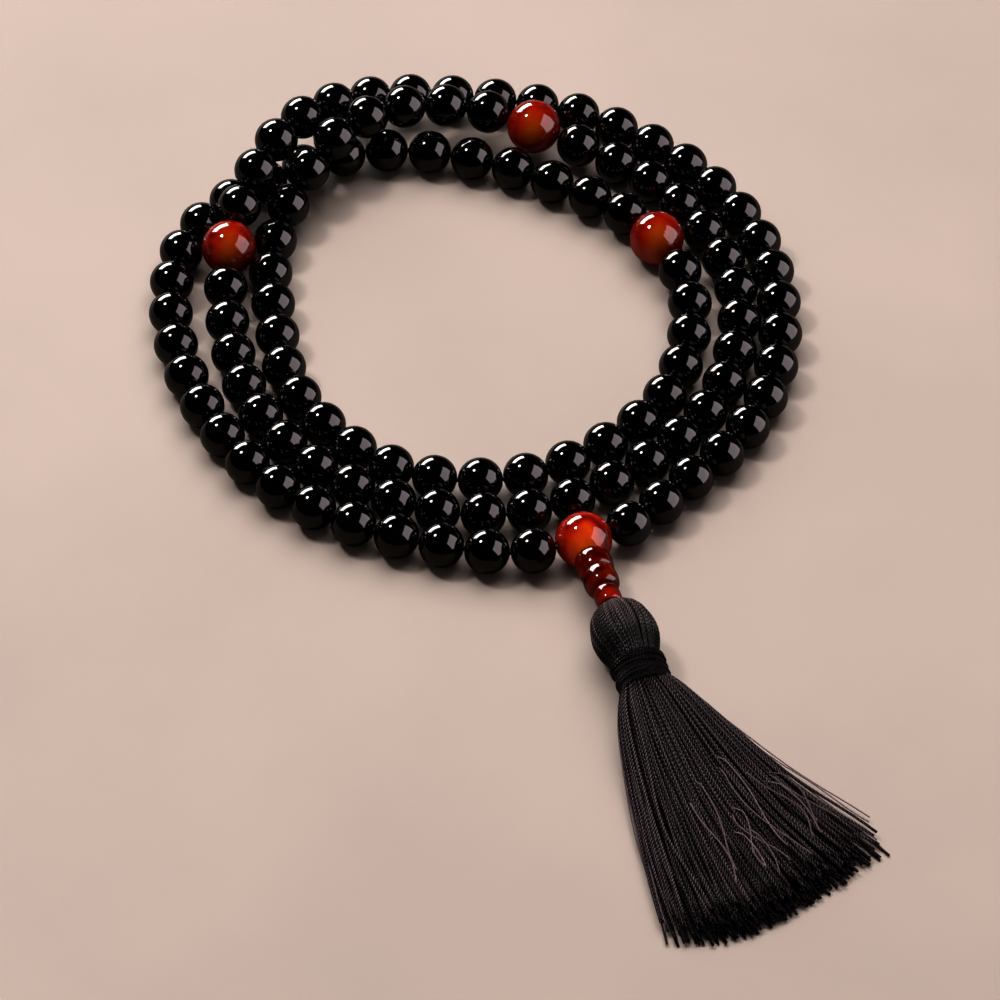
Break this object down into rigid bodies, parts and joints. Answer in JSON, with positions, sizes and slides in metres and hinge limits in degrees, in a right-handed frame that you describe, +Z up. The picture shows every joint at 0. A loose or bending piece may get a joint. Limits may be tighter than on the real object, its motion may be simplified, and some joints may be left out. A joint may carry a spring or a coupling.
{
  "type": "prayer beads",
  "caption": "Mala of round polished black beads with red marker and guru beads, coiled flat, with a tower bead and a black thread tassel.",
  "frame": {"origin": "on the table, under the middle of the whole object's box", "axes": "+Z up from the table; +Y from the tassel towards the back of the coil; +X to the right with the tassel towards the viewer"},
  "size_m": [0.129, 0.2026, 0.0157],
  "materials": {
    "black_onyx": "polished, glossy",
    "carnelian": "polished, translucent",
    "dark_carnelian": "polished, translucent",
    "bead_cord": "twisted cord",
    "tassel_thread": "twisted silky thread",
    "binding_thread": "wound thread",
    "core_wood": "plain turned wood"
  },
  "bodies": {
    "strand": {"q2_beads_01_09": "black_onyx", "q2_beads_10_18": "black_onyx", "q2_beads_19_27": "black_onyx", "q3_beads_01_09": "black_onyx", "q3_beads_10_18": "black_onyx", "q3_beads_19_27": "black_onyx", "q4_beads_01_09": "black_onyx", "q4_beads_10_18": "black_onyx", "q4_beads_19_27": "black_onyx", "stringing_cord": "bead_cord"},
    "guru": {"guru_bead": "carnelian", "cord_tails": "bead_cord"},
    "tower": {"tower_bead": "dark_carnelian"},
    "knot": {"closing_knot": "bead_cord"},
    "tassel": {"tassel_loop": "tassel_thread", "head_core": "core_wood", "loop_knot": "tassel_thread", "tassel_head": "tassel_thread", "neck_binding": "binding_thread", "tassel_skirt": "tassel_thread"},
    "quarter_marker_1": {"quarter_marker_1": "carnelian"},
    "quarter_marker_2": {"quarter_marker_2": "carnelian"},
    "quarter_marker_3": {"quarter_marker_3": "carnelian"},
    "q1_bead_01": {"q1_bead_01": "black_onyx"},
    "q1_bead_02": {"q1_bead_02": "black_onyx"},
    "q1_bead_03": {"q1_bead_03": "black_onyx"},
    "q1_bead_04": {"q1_bead_04": "black_onyx"},
    "q1_bead_05": {"q1_bead_05": "black_onyx"},
    "q1_bead_06": {"q1_bead_06": "black_onyx"},
    "q1_bead_07": {"q1_bead_07": "black_onyx"},
    "q1_bead_08": {"q1_bead_08": "black_onyx"},
    "q1_bead_09": {"q1_bead_09": "black_onyx"},
    "q1_bead_10": {"q1_bead_10": "black_onyx"},
    "q1_bead_11": {"q1_bead_11": "black_onyx"},
    "q1_bead_12": {"q1_bead_12": "black_onyx"},
    "q1_bead_13": {"q1_bead_13": "black_onyx"},
    "q1_bead_14": {"q1_bead_14": "black_onyx"},
    "q1_bead_15": {"q1_bead_15": "black_onyx"},
    "q1_bead_16": {"q1_bead_16": "black_onyx"},
    "q1_bead_17": {"q1_bead_17": "black_onyx"},
    "q1_bead_18": {"q1_bead_18": "black_onyx"},
    "q1_bead_19": {"q1_bead_19": "black_onyx"},
    "q1_bead_20": {"q1_bead_20": "black_onyx"},
    "q1_bead_21": {"q1_bead_21": "black_onyx"},
    "q1_bead_22": {"q1_bead_22": "black_onyx"},
    "q1_bead_23": {"q1_bead_23": "black_onyx"},
    "q1_bead_24": {"q1_bead_24": "black_onyx"},
    "q1_bead_25": {"q1_bead_25": "black_onyx"},
    "q1_bead_26": {"q1_bead_26": "black_onyx"},
    "q1_bead_27": {"q1_bead_27": "black_onyx"}
  },
  "joints": [
    {"name": "guru_roll", "type": "hinge", "parent": "strand", "child": "guru", "pos_m": [0.01371, -0.01611, 0.005], "axis": [-0.9352, -0.3542, 0.0041], "range_deg": [0, 90]},
    {"name": "tassel_swing", "type": "hinge", "parent": "guru", "child": "knot", "pos_m": [0.01837, -0.03243, 0.00585], "axis": [0, 0, 1], "range_deg": [-25, 25]},
    {"name": "tassel_lift", "type": "hinge", "parent": "knot", "child": "tassel", "pos_m": [0.01837, -0.03243, 0.00585], "axis": [-0.9615, -0.2747, 0], "range_deg": [0, 30]},
    {"name": "tower_spin", "type": "hinge", "parent": "guru", "child": "tower", "pos_m": [0.01371, -0.01611, 0.005], "axis": [0.2744, -0.9603, 0.05], "continuous": true},
    {"name": "quarter_marker_1_spin", "type": "hinge", "parent": "strand", "child": "quarter_marker_1", "pos_m": [0.02794, 0.05879, 0.005], "axis": [0.539, -0.8422, 0.0152], "continuous": true},
    {"name": "quarter_marker_2_spin", "type": "hinge", "parent": "strand", "child": "quarter_marker_2", "pos_m": [0.00552, 0.08664, 0.00693], "axis": [0.9091, -0.3928, -0.139], "continuous": true},
    {"name": "quarter_marker_3_spin", "type": "hinge", "parent": "strand", "child": "quarter_marker_3", "pos_m": [-0.05029, 0.05495, 0.00638], "axis": [0.0927, 0.9759, 0.1973], "continuous": true},
    {"name": "q1_bead_01_spin", "type": "hinge", "parent": "strand", "child": "q1_bead_01", "pos_m": [0.00497, -0.01832, 0.00468], "axis": [-0.9912, -0.1021, -0.0838], "continuous": true},
    {"name": "q1_bead_02_spin", "type": "hinge", "parent": "strand", "child": "q1_bead_02", "pos_m": [-0.00303, -0.018, 0.00417], "axis": [-0.983, 0.179, -0.0413], "continuous": true},
    {"name": "q1_bead_03_spin", "type": "hinge", "parent": "strand", "child": "q1_bead_03", "pos_m": [-0.01096, -0.01641, 0.004], "axis": [-0.9766, 0.2151, -0.0007], "continuous": true},
    {"name": "q1_bead_04_spin", "type": "hinge", "parent": "strand", "child": "q1_bead_04", "pos_m": [-0.01876, -0.01426, 0.004], "axis": [-0.9494, 0.3142, -0.0001], "continuous": true},
    {"name": "q1_bead_05_spin", "type": "hinge", "parent": "strand", "child": "q1_bead_05", "pos_m": [-0.02631, -0.01135, 0.004], "axis": [-0.9144, 0.4048, 0], "continuous": true},
    {"name": "q1_bead_06_spin", "type": "hinge", "parent": "strand", "child": "q1_bead_06", "pos_m": [-0.03339, -0.00747, 0.004], "axis": [-0.8332, 0.553, 0], "continuous": true},
    {"name": "q1_bead_07_spin", "type": "hinge", "parent": "strand", "child": "q1_bead_07", "pos_m": [-0.03976, -0.00252, 0.004], "axis": [-0.7414, 0.6711, 0], "continuous": true},
    {"name": "q1_bead_08_spin", "type": "hinge", "parent": "strand", "child": "q1_bead_08", "pos_m": [-0.0453, 0.00336, 0.004], "axis": [-0.6261, 0.7797, 0], "continuous": true},
    {"name": "q1_bead_09_spin", "type": "hinge", "parent": "strand", "child": "q1_bead_09", "pos_m": [-0.04992, 0.00999, 0.004], "axis": [-0.5146, 0.8574, 0], "continuous": true},
    {"name": "q1_bead_10_spin", "type": "hinge", "parent": "strand", "child": "q1_bead_10", "pos_m": [-0.05378, 0.01711, 0.004], "axis": [-0.437, 0.8995, 0], "continuous": true},
    {"name": "q1_bead_11_spin", "type": "hinge", "parent": "strand", "child": "q1_bead_11", "pos_m": [-0.05689, 0.02457, 0.004], "axis": [-0.3319, 0.9433, 0], "continuous": true},
    {"name": "q1_bead_12_spin", "type": "hinge", "parent": "strand", "child": "q1_bead_12", "pos_m": [-0.0591, 0.03235, 0.004], "axis": [-0.214, 0.9768, 0], "continuous": true},
    {"name": "q1_bead_13_spin", "type": "hinge", "parent": "strand", "child": "q1_bead_13", "pos_m": [-0.06036, 0.04033, 0.004], "axis": [-0.0973, 0.9953, 0], "continuous": true},
    {"name": "q1_bead_14_spin", "type": "hinge", "parent": "strand", "child": "q1_bead_14", "pos_m": [-0.06054, 0.04841, 0.004], "axis": [0.0528, 0.9986, 0.0001], "continuous": true},
    {"name": "q1_bead_15_spin", "type": "hinge", "parent": "strand", "child": "q1_bead_15", "pos_m": [-0.05913, 0.05632, 0.004], "axis": [0.2967, 0.955, 0.0007], "continuous": true},
    {"name": "q1_bead_16_spin", "type": "hinge", "parent": "strand", "child": "q1_bead_16", "pos_m": [-0.0557, 0.06357, 0.004], "axis": [0.5502, 0.8351, -0.0016], "continuous": true},
    {"name": "q1_bead_17_spin", "type": "hinge", "parent": "strand", "child": "q1_bead_17", "pos_m": [-0.05053, 0.06974, 0.004], "axis": [0.7251, 0.6886, 0.0016], "continuous": true},
    {"name": "q1_bead_18_spin", "type": "hinge", "parent": "strand", "child": "q1_bead_18", "pos_m": [-0.04429, 0.07487, 0.00401], "axis": [0.8156, 0.5786, 0.0017], "continuous": true},
    {"name": "q1_bead_19_spin", "type": "hinge", "parent": "strand", "child": "q1_bead_19", "pos_m": [-0.0374, 0.07908, 0.004], "axis": [0.8872, 0.4613, -0.005], "continuous": true},
    {"name": "q1_bead_20_spin", "type": "hinge", "parent": "strand", "child": "q1_bead_20", "pos_m": [-0.02989, 0.08201, 0.004], "axis": [0.9651, 0.2618, 0.0052], "continuous": true},
    {"name": "q1_bead_21_spin", "type": "hinge", "parent": "strand", "child": "q1_bead_21", "pos_m": [-0.02194, 0.0832, 0.00406], "axis": [0.9995, 0.0315, 0.0088], "continuous": true},
    {"name": "q1_bead_22_spin", "type": "hinge", "parent": "strand", "child": "q1_bead_22", "pos_m": [-0.01388, 0.08274, 0.00406], "axis": [0.9895, -0.1446, -0.0071], "continuous": true},
    {"name": "q1_bead_23_spin", "type": "hinge", "parent": "strand", "child": "q1_bead_23", "pos_m": [-0.00599, 0.08102, 0.00402], "axis": [0.9595, -0.2816, -0.004], "continuous": true},
    {"name": "q1_bead_24_spin", "type": "hinge", "parent": "strand", "child": "q1_bead_24", "pos_m": [0.00164, 0.07833, 0.004], "axis": [0.9239, -0.3826, -0.0004], "continuous": true},
    {"name": "q1_bead_25_spin", "type": "hinge", "parent": "strand", "child": "q1_bead_25", "pos_m": [0.00891, 0.07479, 0.004], "axis": [0.8718, -0.4898, 0.0002], "continuous": true},
    {"name": "q1_bead_26_spin", "type": "hinge", "parent": "strand", "child": "q1_bead_26", "pos_m": [0.01588, 0.07067, 0.00404], "axis": [0.8491, -0.5282, 0.0094], "continuous": true},
    {"name": "q1_bead_27_spin", "type": "hinge", "parent": "strand", "child": "q1_bead_27", "pos_m": [0.02227, 0.06579, 0.0045], "axis": [0.7284, -0.6772, 0.1043], "continuous": true}
  ]
}
